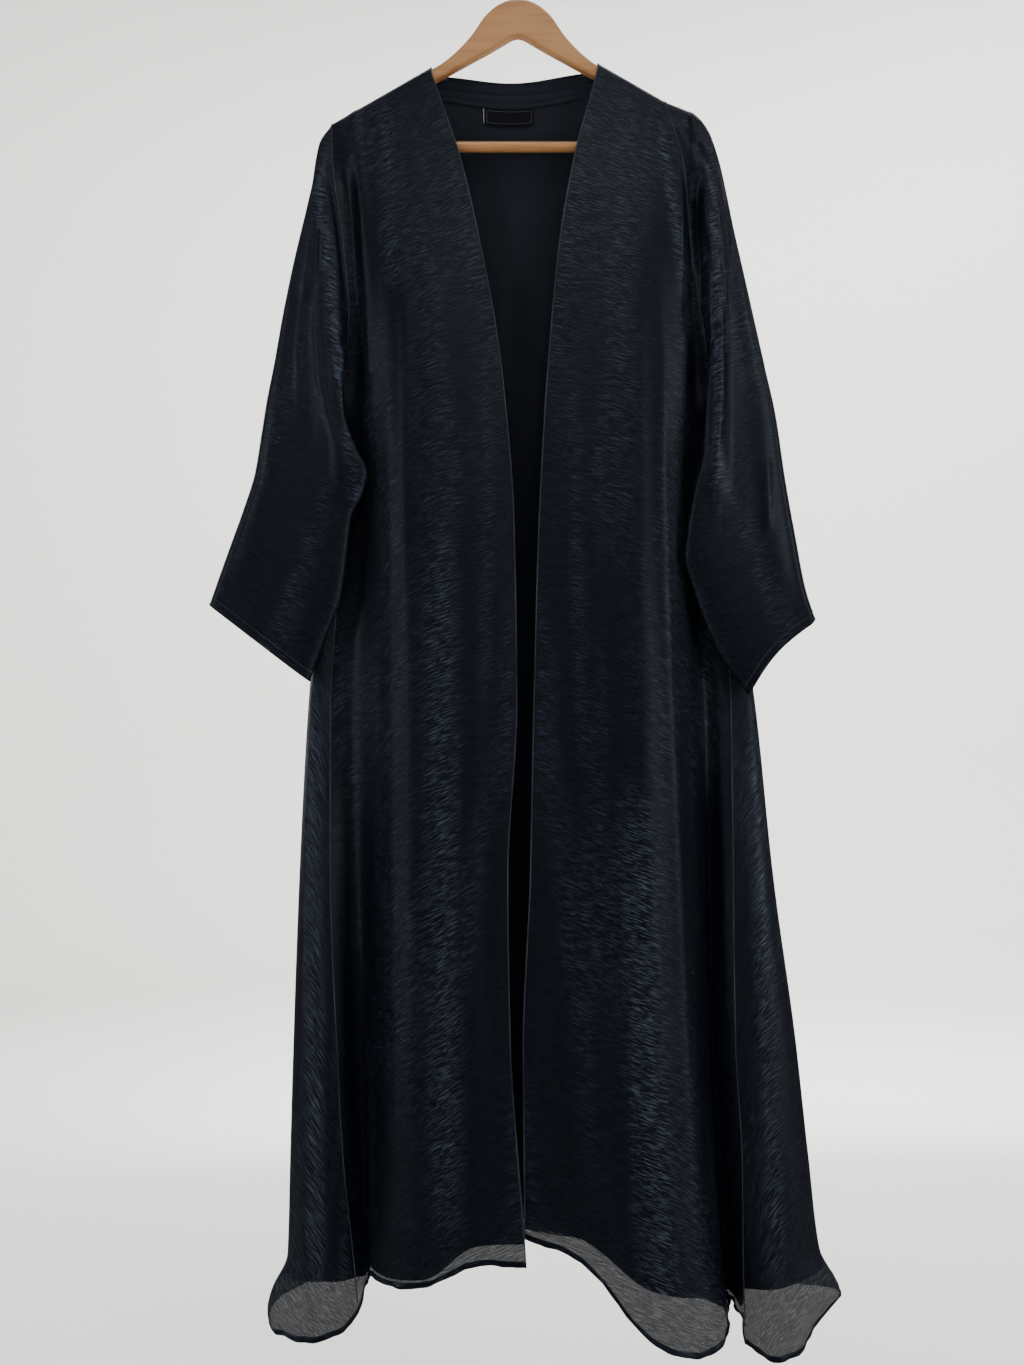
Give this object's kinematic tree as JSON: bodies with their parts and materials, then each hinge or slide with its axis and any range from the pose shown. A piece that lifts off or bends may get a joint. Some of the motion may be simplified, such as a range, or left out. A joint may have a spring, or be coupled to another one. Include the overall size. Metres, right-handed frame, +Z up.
{
  "type": "open-front abaya cloak on a wooden clothes hanger",
  "caption": "Long open-front abaya cloak with set-in sleeves and a flared hem, lined to just above the hem, hanging on a flat wooden trouser-bar hanger.",
  "frame": {"origin": "the seat inside the hanger's hook, where a rail holds it", "axes": "+Z up, the garment's open front faces -Y, the wearer's left is +X"},
  "size_m": [0.717, 0.1223, 1.5939],
  "materials": {
    "shell": "crinkled, softly shimmering near-black navy cloth, sheer where unlined",
    "lining": "plain matt dark navy lining",
    "label": "small plain woven label",
    "wood": "clear satin varnish",
    "steel": "polished wire"
  },
  "bodies": {
    "root": {"shell_front_right": "shell", "shell_front_left": "shell", "shell_back": "shell", "sleeve_right": "shell", "sleeve_left": "shell", "lining_front_right": "lining", "lining_front_left": "lining", "lining_back": "lining", "neck_band": "lining", "neck_label": "label", "hanger_body": "wood", "hanger_bar": "wood", "hanger_hook": "steel"}
  },
  "joints": []
}
